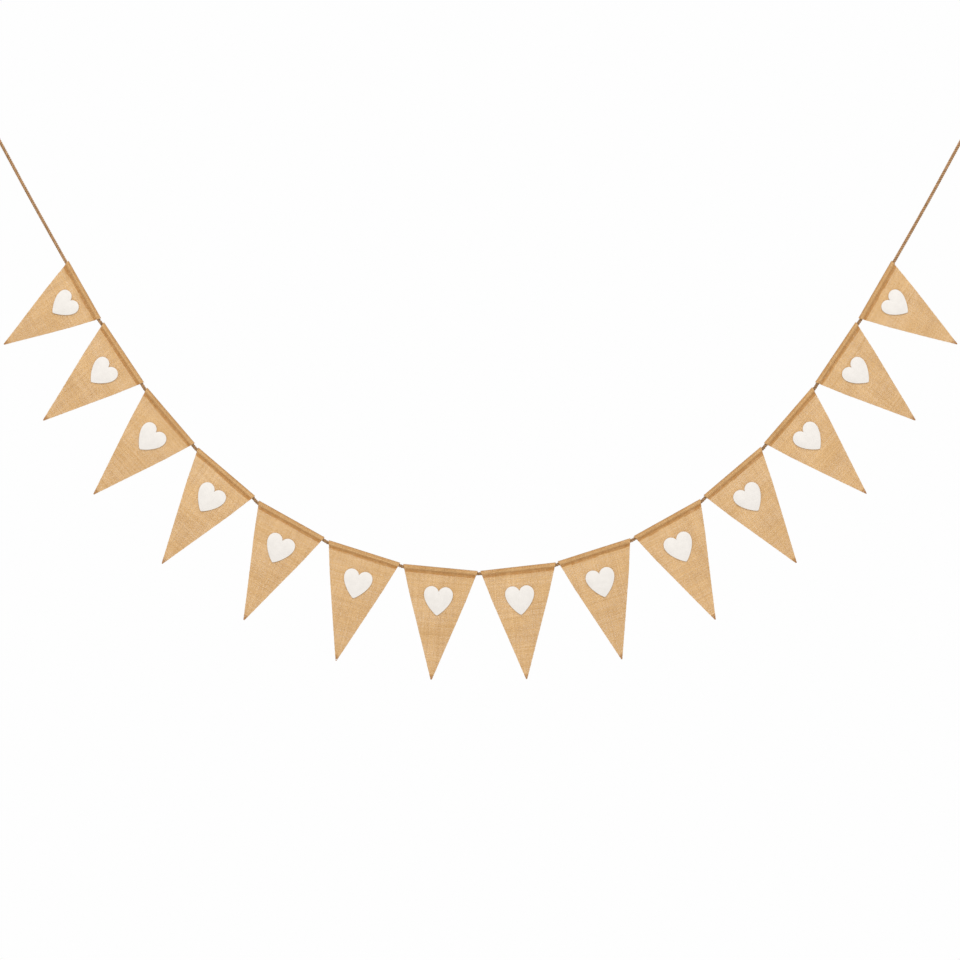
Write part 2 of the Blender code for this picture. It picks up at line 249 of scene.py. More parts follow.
class ThreadMesh:
    """Gathers closed tubes, with what the materials read at each of their points.

    thread_place is the distance along the thread, and across and up from its middle.
    thread_shade is how much lighter than others its thread is there, or darker below 0; on the
    string it also holds painted shade in the short gaps.
    doubled is how strongly the painted shade of cloth that lies double shows, from 0 to 1; it
    also holds the darker tone at a pennant's point.
    """

    def __init__(self):
        self.points = []
        self.places = []
        self.shades = []
        self.covers = []
        self.loops = []
        self.sizes = []
        self.count = 0

    def add_tube(self, line, across, up, widths, heights, sides, shade, start, cover=0.0,
                 slant=0.0):
        """line, across and up are rows of vectors; widths and heights are whole sizes.

        start is where the thread's own length begins, so that no two threads look the same.
        slant shifts each ring's points by their place across, as where a yarn is cut askew.
        """
        rings = len(line)
        turn = 2 * math.pi * np.arange(sides) / sides
        side = np.cos(turn)[None, :] * widths[:, None] / 2
        rise = np.sin(turn)[None, :] * heights[:, None] / 2
        flat = np.broadcast_to(across + slant, line.shape)
        points = line[:, None] + flat[:, None] * side[..., None] + up[:, None] * rise[..., None]
        steps = np.linalg.norm(np.diff(line, axis=0), axis=1)
        along = start + np.concatenate([[0.0], np.cumsum(steps)])
        self.points.append(points.reshape(-1, 3))
        places = np.stack([np.broadcast_to(along[:, None], side.shape), side, rise], axis=-1)
        self.places.append(places.reshape(-1, 3))
        self.shades.append(np.repeat(np.broadcast_to(shade, rings), sides))
        self.covers.append(np.repeat(np.broadcast_to(cover, rings), sides))

        first = np.arange(rings - 1)[:, None] * sides + np.arange(sides)[None, :]
        after = np.arange(rings - 1)[:, None] * sides + (np.arange(sides)[None, :] + 1) % sides
        quads = np.stack([first, after, after + sides, first + sides], axis=-1).reshape(-1)
        last_ring = (rings - 1) * sides
        near_cap = np.arange(sides)[::-1]
        far_cap = last_ring + np.arange(sides)
        self.loops.append(np.concatenate([quads, near_cap, far_cap]) + self.count)
        self.sizes.append(np.concatenate([np.full((rings - 1) * sides, 4), [sides, sides]]))
        self.count += rings * sides

    def add_fibre(self, rng, root, aim, length):
        """A loose fibre that leaves a thread and bends away from its first direction."""
        share = np.linspace(0, 1, len(FIBRE_TAPER))[:, None]
        bend = unit(rng.normal(size=3)) * 0.4
        line = root + length * (aim * share + bend * share ** 2)
        tangents = unit(np.gradient(line, axis=0))
        across = unit(np.cross(tangents, unit(rng.normal(size=3))))
        widths = FIBRE_WIDTH * FIBRE_TAPER
        self.add_tube(line, across, np.cross(tangents, across), widths, widths, 3,
                      rng.normal(0, 0.8), rng.uniform(0, 1))

    def make_object(self, name, material):
        mesh = bpy.data.meshes.new(name)
        points = np.concatenate(self.points)
        loops = np.concatenate(self.loops)
        sizes = np.concatenate(self.sizes)
        mesh.vertices.add(len(points))
        mesh.vertices.foreach_set("co", points.astype(np.float32).ravel())
        mesh.loops.add(len(loops))
        mesh.loops.foreach_set("vertex_index", loops.astype(np.int32))
        mesh.polygons.add(len(sizes))
        starts = np.concatenate([[0], np.cumsum(sizes)[:-1]])
        mesh.polygons.foreach_set("loop_start", starts.astype(np.int32))
        mesh.update(calc_edges=True)
        place = mesh.attributes.new("thread_place", "FLOAT_VECTOR", "POINT")
        place.data.foreach_set("vector", np.concatenate(self.places).astype(np.float32).ravel())
        shade = mesh.attributes.new("thread_shade", "FLOAT", "POINT")
        shade.data.foreach_set("value", np.concatenate(self.shades).astype(np.float32))
        cover = mesh.attributes.new("doubled", "FLOAT", "POINT")
        cover.data.foreach_set("value", np.concatenate(self.covers).astype(np.float32))
        mesh.shade_smooth()
        mesh.set_sharp_from_angle(angle=math.radians(SHARP_DEG))
        mesh.materials.append(material)
        piece = bpy.data.objects.new(name, mesh)
        bpy.context.scene.collection.objects.link(piece)
        return piece


def wander(rng, count, reach):
    """Smooth random values of about -1 to 1, which change over about reach steps."""
    knots = rng.normal(0.0, 0.6, count // reach + 3)
    return np.interp(np.arange(count) / reach, np.arange(len(knots)), knots)


def unit(vectors):
    return vectors / np.linalg.norm(vectors, axis=-1, keepdims=True)


# String


def smooth_line(points, step, casings=(), casing_step=0.0):
    """Points at about every step along a smooth curve through points.

    casings are the spans, by the number of their first point, that take casing_step.
    """
    last = len(points) - 1
    line = [points[0]]
    for i in range(last):
        start = points[i]
        end = points[i + 1]
        leave = (end - points[max(i - 1, 0)]).normalized()
        arrive = (points[min(i + 2, last)] - start).normalized()
        handle = (end - start).length / 3
        span_step = casing_step if i in casings else step
        pieces = max(1, round((end - start).length / span_step))
        span = interpolate_bezier(
            start, start + leave * handle, end - arrive * handle, end, pieces + 1)
        line += span[1:]
    return line


def end_place(end, side, height, back=0.0):
    """A point of a string end's own frame: to the side, back, and up from the hook."""
    turn = Euler((0.0, math.radians(end.tilt_deg), 0.0)).to_matrix()
    return Vector((end.hook_x, 0.0, 0.0)) + turn @ Vector((side, back, height))


def end_strand(end):
    """From the tail's tip up through the knot, round the loop and down to the run."""
    tail = [(-end.side * side, KNOT_BOTTOM - down) for down, side in reversed(TAIL_ROUTE)]
    up_knot = [(-end.side * STRAND_OFFSET, KNOT_BOTTOM), (-end.side * STRAND_OFFSET, KNOT_TOP)]
    rise = [(-end.side * side, KNOT_TOP + up) for up, side in LOOP_ROUTE]
    fall = [(end.side * side, KNOT_TOP + up) for up, side in LOOP_ROUTE[-2::-1]]
    down_knot = [(end.side * STRAND_OFFSET, KNOT_TOP)]
    return [end_place(end, *place) for place in tail + up_knot + rise + fall + down_knot]


def carried_frames(line):
    """Side and up vectors along a line, carried along it without twisting."""
    tangents = unit(np.gradient(line, axis=0))
    side = np.array([0.0, 1.0, 0.0]) if abs(tangents[0][1]) < 0.9 else np.array([1.0, 0.0, 0.0])
    sides = []
    for tangent in tangents:
        side = side - tangent * (side @ tangent)
        side = side / np.linalg.norm(side)
        sides.append(side)
    sides = np.array(sides)
    return sides, np.cross(tangents, sides)


def twist_string(threads, line, rng, shade=0.0):
    """Three plies twisted round a line, each a little uneven. shade is added to their own."""
    line = np.array(line)
    sides, ups = carried_frames(line)
    steps = np.linalg.norm(np.diff(line, axis=0), axis=1)
    along = np.concatenate([[0.0], np.cumsum(steps)])
    turn = 2 * math.pi * along / TWIST_LENGTH + TWIST_WANDER * wander(rng, len(line), 30)
    for ply in range(PLIES):
        angle = turn + 2 * math.pi * ply / PLIES
        outward = sides * np.cos(angle)[:, None] + ups * np.sin(angle)[:, None]
        round_way = ups * np.cos(angle)[:, None] - sides * np.sin(angle)[:, None]
        thick = 2 * PLY_RADIUS * (PLY_FULLNESS + PLY_SPREAD * wander(rng, len(line), 12))
        threads.add_tube(line + outward * PLY_OFFSET, round_way, outward, thick, thick * 0.97,
                         PLY_SIDES, rng.uniform(-1, 1) + shade, rng.uniform(0, 1))


def fray_string(threads, line, rng, count):
    """Loose fibres that leave the string and lean along it, either way."""
    line = np.array(line)
    tangents = unit(np.gradient(line, axis=0))
    for _ in range(count):
        at = rng.integers(1, len(line) - 1)
        out = unit(np.cross(tangents[at], rng.normal(size=3)))
        aim = unit(out + tangents[at] * rng.uniform(0.3, 2.0) * rng.choice([-1, 1]))
        root = line[at] + out * PLY_REACH * 0.9
        threads.add_fibre(rng, root, aim, rng.uniform(*STRING_FIBRE_LENGTHS))


def fray_tail(threads, tip, inner, rng):
    """Loose fibres that spread from a cut end of the string. inner lies just before the tip."""
    aim = unit(np.array(tip) - np.array(inner))
    for _ in range(TAIL_FIBRES):
        out = unit(np.cross(aim, rng.normal(size=3))) * math.sqrt(rng.uniform(0, 0.7))
        root = np.array(tip) + out * PLY_REACH - aim * 0.0003
        threads.add_fibre(rng, root, unit(aim + out * 0.7), rng.uniform(*TAIL_FIBRE_LENGTHS))


def make_string(material):
    rng = np.random.default_rng(STRING_SEED)
    left, right = STRING_ENDS
    route = [Vector((x, 0.0, z)) for x, z in STRING_ROUTE]
    near_end = end_strand(left)
    points = near_end + route + end_strand(right)[::-1]
    first = len(near_end) + FIRST_MOUTH
    casings = range(first, first + 2 * len(PENNANTS), 2)
    line = smooth_line(points, STRING_STEP, casings, CASING_STEP)
    # Painted shade on the string in the short gaps, strongest next to each casing.
    gap_mouths = np.array(route[FIRST_MOUTH + 1:FIRST_MOUTH + 2 * len(PENNANTS) - 1])
    away = np.linalg.norm(np.array(line)[:, None] - gap_mouths[None], axis=-1).min(axis=1)
    threads = ThreadMesh()
    twist_string(threads, line, rng, -GAP_SHADE * np.clip(1 - away / GAP_REACH, 0, 1))
    fray_string(threads, smooth_line(points, STRING_STEP, casings, 1.0), rng, STRING_FIBRES)
    tail_rng = np.random.default_rng(TAIL_SEED)
    fray_tail(threads, line[0], line[1], tail_rng)
    fray_tail(threads, line[-1], line[-2], tail_rng)
    string = threads.make_object("string_twisted", material)
    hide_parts("string", "loop_left", "loop_right", "tail_left", "tail_right")
    centreline = smooth_line(points, CORD_POINT_STEP)
    wraps = [wrap_knot(end, material, rng) for end in STRING_ENDS]
    return [string] + wraps


def wrap_knot(end, material, rng):
    """The turns of string that bind the two strands of a loop below it."""
    turns = KNOT_WRAPS - HIDDEN_WRAP
    steps = round(turns * WRAP_STEPS)
    line = []
    for k in range(steps + 1):
        share = k / steps
        angle = end.side * (math.pi / 2 + 2 * math.pi * turns * share)
        quarters_in = min(share, 1 - share) * turns * 4
        full = math.sin(math.pi / 2 * min(1.0, quarters_in))
        out = TUCKED_REACH + (1 - TUCKED_REACH) * full
        height = KNOT_TOP - STRING_RADIUS - (KNOT_LENGTH - STRING_DIAMETER) * share
        line.append(end_place(
            end, (STRAND_OFFSET + STRING_DIAMETER) * math.cos(angle) * out, height,
            STRING_DIAMETER * math.sin(angle) * out))
    threads = ThreadMesh()
    twist_string(threads, line, rng)
    fray_string(threads, line, rng, KNOT_FIBRES)
    knot = threads.make_object(f"knot_wraps_{end.name}", material)
    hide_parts(f"knot_{end.name}")
    return knot


# Pennants


def half_layer_gap(depth):
    """From halfway between the casing's two layers to the middle of each."""
    share = np.clip((depth - STRING_DEPTH) / (LAYERS_MEET_DEPTH - STRING_DEPTH), 0, 1)
    return LAYER_OFFSET + (CASING_REACH - LAYER_OFFSET) * (1 + np.cos(math.pi * share)) / 2


class Cloth:
    """The middle surface of one pennant, in the frame of its casing: X runs along the string."""

    def __init__(self, pennant, top_width):
        self.pennant = pennant
        self.top_width = top_width
        panel = np.arange(pennant.drop - TIP_CUT, STRING_DEPTH, -MM / 4)
        turn = np.linspace(0, math.pi, 60)
        flap = np.arange(STRING_DEPTH, FLAP_DEPTH, MM / 4)[1:]
        self.depth = np.concatenate(
            [panel, STRING_DEPTH - CASING_RISE * np.sin(turn), flap, [FLAP_DEPTH]])
        self.back = np.concatenate(
            [-half_layer_gap(panel), -CASING_REACH * np.cos(turn), half_layer_gap(flap),
             [LAYER_OFFSET]])
        steps = np.hypot(np.diff(self.depth), np.diff(self.back))
        self.up = np.concatenate([[0.0], np.cumsum(steps)])      # cloth's length from its point
        self.length = self.up[-1]
        self.fold_up = self.up[np.argmin(self.depth)]

    def half_width(self, up):
        """Half of the cloth's width at a length up from its point."""
        depth = np.interp(up, self.up, self.depth)
        draw_in = SHOULDER_DRAW_IN * np.clip(1 - depth / SHOULDER_LENGTH, 0, None)
        narrow = np.where(up > self.fold_up, FLAP_INSET, 0.0)
        return self.top_width / 2 * (1 - depth / self.pennant.drop) - draw_in - narrow

    def bulge(self, side, depth):
        """How far the hanging panel stands back from a flat one."""
        pennant = self.pennant
        across = side / (self.top_width / 2)
        share = np.clip((depth - FLAP_DEPTH) / (pennant.drop - FLAP_DEPTH), 0, None)
        wave = WAVE_SCALE * share ** 2 * (1 - share)
        sway = pennant.twist * across + pennant.cup * (1 - across ** 2)
        return pennant.curl * share ** 2 + sway * wave

    def place(self, side, up):
        """Points of the cloth, from their distance to the side and their length up it."""
        depth = np.interp(up, self.up, self.depth)
        back = np.interp(up, self.up, self.back) + self.bulge(side, depth)
        lean = self.pennant.lean * depth / self.pennant.drop
        return np.stack([side + lean, back, STRING_DEPTH - depth], axis=-1)

    def frame(self, side, up):
        """Points, and unit vectors across, up the cloth and out of its front."""
        reach = MM / 2
        across = unit(self.place(side + reach, up) - self.place(side - reach, up))
        high = np.minimum(up + reach, self.length)
        low = np.maximum(up - reach, 0.0)
        upward = unit(self.place(side, high) - self.place(side, low))
        return self.place(side, up), across, upward, unit(np.cross(across, upward))

    def doubled(self, up):
        """Painted shade: 1 where the flap is behind the panel, less on fold and string, 0 below.
        """
        depth = np.interp(up, self.up, self.depth)
        on_fold = FOLD_SHADE * np.clip((FOLD_SHADE_END - depth) / FOLD_SHADE_FADE, 0, 1)
        at_flap = FLAP_SHADE * np.clip((depth - FLAP_SHADE_START) / FLAP_SHADE_FADE, 0, 1)
        return (CASING_SHADE + on_fold + at_flap) * (depth < BAND_DEPTH)

    def cling(self, up):
        """1 at the very point, where the yarns' ends cling together, and 0 above it."""
        return np.clip(TIP_FADE * (1 - up / TIP_BINDING), 0, 1)


def drift(rng, side, up):
    """A slow wander that neighbouring yarns share, so that no gaps open between them."""
    total = np.zeros(np.broadcast(side, up).shape)
    for _ in range(DRIFT_WAVES):
        turn = rng.uniform(0, 2 * math.pi)
        wave = 2 * math.pi / (DRIFT_LENGTH * rng.uniform(0.7, 1.6))
        along = side * math.cos(turn) + up * math.sin(turn)
        total += np.sin(along * wave + rng.uniform(0, 2 * math.pi))
    return total * DRIFT / 2


def yarn_crossings(rng, cloth):
    """Where the yarns cross. Each array has a row for each weft and a column for each warp.

    over is 1 where the weft is in front, and else -1. inside is false where a warp would hang
    over the cloth's edge.
    """
    wefts = np.arange(WEFT_PITCH * 0.5, cloth.length - WEFT_PITCH * 0.4, WEFT_PITCH)
    reach = int(cloth.top_width / 2 / WARP_PITCH)
    warps = np.arange(-reach, reach + 1) * WARP_PITCH
    flat_up, flat_side = np.meshgrid(wefts, warps, indexing="ij")
    up = flat_up + drift(rng, flat_side, flat_up)
    up += WEFT_PLACE_SPREAD * WEFT_PITCH * rng.normal(size=(len(wefts), 1))
    side = flat_side + drift(rng, flat_side, flat_up)
    side += WARP_PLACE_SPREAD * WARP_PITCH * rng.normal(size=(1, len(warps)))
    up = np.clip(up, 0.0, cloth.length)
    over = np.where(np.add.outer(np.arange(len(wefts)), np.arange(len(warps))) % 2, 1, -1)
    inside = np.abs(side) < cloth.half_width(up) - 0.45 * WARP_WIDTH
    return side, up, over, inside


def weave_pennant(number, cloth, material):
    """Weft and warp yarns, each its own closed tube, over one and under one."""
    rng = np.random.default_rng(CLOTH_SEED + number)
    threads = ThreadMesh()
    crossings = yarn_crossings(rng, cloth)
    add_wefts(threads, cloth, rng, *crossings)
    add_warps(threads, cloth, rng, *crossings)
    fray_cloth(threads, cloth, rng)
    return threads.make_object(f"hessian_{number:02d}", material)


def add_wefts(threads, cloth, rng, side, up, over, inside):
    for i in range(len(up)):
        crossed = np.flatnonzero(inside[i])
        if not len(crossed):
            middle = (i + 0.5) * WEFT_PITCH
            edge = float(cloth.half_width(middle))
            ends = np.array([-edge, edge])
            add_yarn(threads, cloth, rng, ends, np.full(2, middle), np.zeros(2), WEFT_WIDTH)
            continue
        near, far = crossed[0], crossed[-1]
        cut = rng.uniform(*WEFT_CUT_SPREAD, 2)
        left = min(-cloth.half_width(up[i, near]) - cut[0], side[i, near] - WEFT_END_LEAST)
        right = max(cloth.half_width(up[i, far]) + cut[1], side[i, far] + WEFT_END_LEAST)
        at_side = np.concatenate([[left], side[i, crossed], [right]])
        at_up = np.concatenate([[up[i, near]], up[i, crossed], [up[i, far]]])
        rise = np.concatenate([[0.0], over[i, crossed] * CRIMP, [0.0]])
        add_yarn(threads, cloth, rng, at_side, at_up, rise, WEFT_WIDTH)


def add_warps(threads, cloth, rng, side, up, over, inside):
    for j in range(side.shape[1]):
        crossed = np.flatnonzero(inside[:, j])
        if len(crossed) < 2:
            continue
        near, far = crossed[0], crossed[-1]
        ends = rng.uniform(*WARP_END_PITCHES, 2) * WEFT_PITCH
        low = max(0.0, up[near, j] - ends[0])
        high = min(cloth.length, up[far, j] + ends[1])
        at_up = np.concatenate([[low], up[crossed, j], [high]])
        at_side = np.concatenate([[side[near, j]], side[crossed, j], [side[far, j]]])
        rise = np.concatenate([[0.0], -over[crossed, j] * CRIMP, [0.0]])
        add_yarn(threads, cloth, rng, at_side, at_up, rise, WARP_WIDTH)


def fray_cloth(threads, cloth, rng):
    """Loose fibres at the cut edges, and flat on both faces."""
    for k in range(EDGE_FIBRES + FACE_FIBRES):
        up = cloth.length * (1 - math.sqrt(rng.uniform(0.0, 0.99)))
        up = cloth.length - up if k % 2 else up
        half = float(cloth.half_width(up))
        edge = rng.choice([-1, 1])
        share = 0.99 if k < EDGE_FIBRES else rng.uniform(0, 0.95)
        spots = np.array([edge * half * share]), np.array([up])
        root, across, upward, outward = (row[0] for row in cloth.frame(*spots))
        if k < EDGE_FIBRES:
            aim = across * edge + upward * rng.normal() * 0.6 + outward * rng.normal() * 0.4
        else:
            face = rng.choice([-1, 1])
            root = root + outward * face * CRIMP
            aim = across * rng.normal() + upward * rng.normal() + outward * face * 0.5
        threads.add_fibre(rng, root, unit(aim), rng.uniform(*CLOTH_FIBRE_LENGTHS))


def cut_slope(cloth, up):
    """How far a side edge goes outwards for each length up the cloth."""
    reach = MM / 2
    return (cloth.half_width(up + reach) - cloth.half_width(up - reach)) / (2 * reach)


def add_yarn(threads, cloth, rng, side, up, rise, width):
    """One yarn through its crossings. rise is how far each lies in front of the cloth's middle."""
    points, across, upward, outward = cloth.frame(side, up)
    uneven = 0.6 * rng.normal() + wander(rng, len(side), 9)
    widths = width * np.clip(1 + WIDTH_SPREAD * uneven, 0.9, 1.07)
    heights = YARN_HEIGHT * np.clip(1 + HEIGHT_SPREAD * uneven, 0.8, 1.2)
    line = points + outward * rise[:, None]
    slant = np.zeros(line.shape)
    if width == WARP_WIDTH:
        flat = -across
        shade = rng.normal(0, WARP_TONE_SPREAD)
    else:
        flat = upward
        slant[0] = -across[0] * cut_slope(cloth, up[0])
        slant[-1] = across[-1] * cut_slope(cloth, up[-1])
        shade = rng.normal(0, WEFT_TONE_SPREAD)
    shade = shade - TIP_DARKENING * cloth.cling(up)
    # The stronger of the casing's painted shade and the point's darker tone.
    cover = np.maximum(cloth.doubled(up), cloth.cling(up))
    threads.add_tube(line, flat, outward, widths, heights, YARN_SIDES, shade,
                     rng.uniform(0, 1), cover, slant)


# Hearts


def heart_outline(width):
    """Points round a heart from its notch: an arc for each lobe, and a curve to the tip."""
    scale = width / HEART_DRAWN_WIDTH
    notch_turn = math.acos(-LOBE_CENTRE.x / LOBE_RADIUS)
    end_turn = math.radians(LOBE_END_DEG)
    right = []
    for k in range(LOBE_STEPS):
        turn = notch_turn + (end_turn - notch_turn) * k / LOBE_STEPS
        right.append(LOBE_CENTRE + LOBE_RADIUS * Vector((math.cos(turn), math.sin(turn))))
    lobe_end = LOBE_CENTRE + LOBE_RADIUS * Vector((math.cos(end_turn), math.sin(end_turn)))
    right += interpolate_bezier(lobe_end, SIDE_HANDLE, TIP_HANDLE, HEART_TIP, SIDE_STEPS + 1)
    left = [Vector((-point.x, point.y)) for point in right[-2:0:-1]]
    return [Vector((point.x, point.y)) * scale for point in right + left]


def felt_heart(number, cloth, material):
    """A felt heart that lies on its panel, with a soft rounded edge."""
    pennant = cloth.pennant
    outline = heart_outline(pennant.heart_width)
    middle_side = HEART_LEAN_SHARE * pennant.lean * pennant.heart_drop / pennant.drop
    middle_height = STRING_DEPTH - pennant.heart_drop
    turn = -math.atan(pennant.lean / pennant.drop)

    bm = bmesh.new()
    bmesh.ops.create_circle(bm, cap_ends=True, segments=len(outline), radius=1.0)
    for _ in range(HEART_RINGS - 1):
        inner = max(bm.faces, key=lambda face: len(face.verts))
        bmesh.ops.inset_region(bm, faces=[inner], thickness=1.0 / HEART_RINGS)
    inner = max(bm.faces, key=lambda face: len(face.verts))
    bmesh.ops.poke(bm, faces=[inner])
    # Each point of the disc goes to its own share of the way to the heart's outline.
    for vert in bm.verts:
        angle = math.atan2(vert.co.x, vert.co.y)
        step = round(angle / (2 * math.pi) * len(outline)) % len(outline)
        flat = outline[step] * min(1.0, vert.co.length)
        along = middle_side + flat.x * math.cos(turn) + flat.y * math.sin(turn)
        height = middle_height - flat.x * math.sin(turn) + flat.y * math.cos(turn)
        depth = STRING_DEPTH - height
        side = along - pennant.lean * depth / pennant.drop
        vert.co = (along, float(cloth.bulge(side, depth)) - HEART_OFFSET, height)
    name = f"felt_heart_{number:02d}"
    mesh = bpy.data.meshes.new(name)
    bm.to_mesh(mesh)
    bm.free()
    mesh.shade_smooth()
    mesh.materials.append(material)
    heart = bpy.data.objects.new(name, mesh)
    bpy.context.scene.collection.objects.link(heart)
    solidify = heart.modifiers.new("Thickness", "SOLIDIFY")
    solidify.thickness = FELT_THICKNESS
    solidify.offset = 0.0
    bevel = heart.modifiers.new("Soft edge", "BEVEL")
    bevel.width = FELT_ROUNDING
    bevel.segments = 2
    bevel.limit_method = "ANGLE"
    bevel.angle_limit = math.radians(50)
    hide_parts(f"heart_{number:02d}")
    return heart


def hang_pennant(number, pennant, mouths, hessian, felt):
    left, right = mouths
    along = right - left
    cloth = Cloth(pennant, along.length + 2 * MOUTH_INSET)
    woven = weave_pennant(number, cloth, hessian)
    heart = felt_heart(number, cloth, felt)
    for piece in (woven, heart):
        piece.location = (left + right) / 2
        piece.rotation_euler = (math.radians(pennant.swing_deg), -math.atan2(along.z, along.x), 0)
    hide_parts(f"pennant_{number:02d}")
    return woven, heart


# Materials. Colours are linear. A thread's fibres wind round it so many turns in a metre, and
# its tone goes from dark to light by the amounts given for fibres, threads and patches. Out at
# rim_reach from its middle, painted shade has made it a full step darker.

ThreadLook = namedtuple(
    "ThreadLook", "dark light turns fibre_width fibre_length rim_reach fibre_amount "
    "thread_amount patch_amount patch_scale")
HESSIAN_YARN = ThreadLook(
    dark=(0.468, 0.260, 0.098, 1), light=(0.845, 0.566, 0.283, 1), turns=160.0,
    fibre_width=0.00020, fibre_length=0.0025, rim_reach=0.0023,
    fibre_amount=1.8, thread_amount=0.17, patch_amount=0.6, patch_scale=22.0)
STRING_PLY = ThreadLook(
    dark=(0.216, 0.110, 0.037, 1), light=(0.670, 0.398, 0.202, 1), turns=-90.0,
    fibre_width=0.00022, fibre_length=0.0050, rim_reach=0.0100,
    fibre_amount=2.6, thread_amount=0.1, patch_amount=0.4, patch_scale=40.0)
# Painted shade of cloth that lies double, and the darker tone at a pennant's point.
SHADE_AND_TIP_TINT = (0.770, 0.595, 0.390, 1)
FELT_DARK = (0.66, 0.625, 0.585, 1)
FELT_LIGHT = (0.86, 0.82, 0.77, 1)


def new_group(name, inputs, outputs):
    group = bpy.data.node_groups.new(name, "ShaderNodeTree")
    for label, kind, value in inputs:
        socket = group.interface.new_socket(label, in_out="INPUT", socket_type=kind)
        socket.default_value = value
    for label, kind in outputs:
        group.interface.new_socket(label, in_out="OUTPUT", socket_type=kind)
    return group, group.nodes.new("NodeGroupInput"), group.nodes.new("NodeGroupOutput")


def add_node(tree, kind, links=(), **values):
    """A node with its properties set, and links from sockets to its inputs."""
    node = tree.nodes.new(kind)
    for key, value in values.items():
        setattr(node, key, value)
    for label, source in links:
        if isinstance(source, bpy.types.NodeSocket):
            tree.links.new(source, node.inputs[label])
        else:
            node.inputs[label].default_value = source
    return node


def fibre_group():
    """Fine fibres that wind along a thread, lower towards its sides, and darker there in painted
    shade.

    Rim Reach is the distance from the thread's middle at which the painted shade would lower the
    tone by 1.
    """
    group, given, made = new_group(
        "thread fibres",
        [("Fibre Width", "NodeSocketFloat", 0.0002), ("Fibre Length", "NodeSocketFloat", 0.004),
         ("Turns per Metre", "NodeSocketFloat", 100.0), ("Rim Reach", "NodeSocketFloat", 0.01)],
        [("Height", "NodeSocketFloat"), ("Tone", "NodeSocketFloat")])
    place = add_node(group, "ShaderNodeAttribute", attribute_name="thread_place")
    parts = add_node(group, "ShaderNodeSeparateXYZ", [(0, place.outputs["Vector"])])
    turns = add_node(group, "ShaderNodeMath", [(0, parts.outputs["X"]),
                                               (1, given.outputs["Turns per Metre"])],
                     operation="MULTIPLY")
    angle = add_node(group, "ShaderNodeMath", [(0, turns.outputs[0]), (1, 2 * math.pi)],
                     operation="MULTIPLY")
    wound = add_node(group, "ShaderNodeVectorRotate",
                     [("Vector", place.outputs["Vector"]), ("Angle", angle.outputs[0])],
                     rotation_type="X_AXIS")
    split = add_node(group, "ShaderNodeSeparateXYZ", [(0, wound.outputs[0])])
    along = add_node(group, "ShaderNodeMath", [(0, split.outputs["X"]),
                                               (1, given.outputs["Fibre Length"])],
                     operation="DIVIDE")
    across = add_node(group, "ShaderNodeMath", [(0, split.outputs["Y"]),
                                                (1, given.outputs["Fibre Width"])],
                      operation="DIVIDE")
    high = add_node(group, "ShaderNodeMath", [(0, split.outputs["Z"]),
                                              (1, given.outputs["Fibre Width"])],
                    operation="DIVIDE")
    grid = add_node(group, "ShaderNodeCombineXYZ", [("X", along.outputs[0]),
                                                    ("Y", across.outputs[0]),
                                                    ("Z", high.outputs[0])])
    fine = add_node(group, "ShaderNodeTexNoise", [("Vector", grid.outputs[0]), ("Scale", 1.0),
                                                  ("Detail", 2.0), ("Roughness", 0.6)])
    slow = add_node(group, "ShaderNodeVectorMath", [(0, grid.outputs[0]), (1, (0.35, 0.2, 0.2))],
                    operation="MULTIPLY")
    broad = add_node(group, "ShaderNodeTexNoise", [("Vector", slow.outputs[0]), ("Scale", 1.0),
                                                   ("Detail", 1.0)])
    # rim: the square of the way out to the sides, in Rim Reach. It lowers the bump, and darkens
    # the tone as painted shade.
    out = add_node(group, "ShaderNodeMath", [(0, parts.outputs["Y"]),
                                             (1, given.outputs["Rim Reach"])],
                   operation="DIVIDE")
    rim = add_node(group, "ShaderNodeMath", [(0, out.outputs[0]), (1, out.outputs[0])],
                   operation="MULTIPLY")
    rounded = add_node(group, "ShaderNodeMath", [(0, rim.outputs[0]), (1, -ROUNDNESS),
                                                 (2, fine.outputs["Fac"])],
                       operation="MULTIPLY_ADD")
    group.links.new(rounded.outputs[0], made.inputs["Height"])
    tone = add_node(group, "ShaderNodeMath", [(0, fine.outputs["Fac"]),
                                              (1, broad.outputs["Fac"])], operation="ADD")
    halved = add_node(group, "ShaderNodeMath", [(0, tone.outputs[0]), (1, 0.5)],
                      operation="MULTIPLY")
    darker = add_node(group, "ShaderNodeMath", [(0, halved.outputs[0]), (1, rim.outputs[0])],
                      operation="SUBTRACT")
    group.links.new(darker.outputs[0], made.inputs["Tone"])
    return group


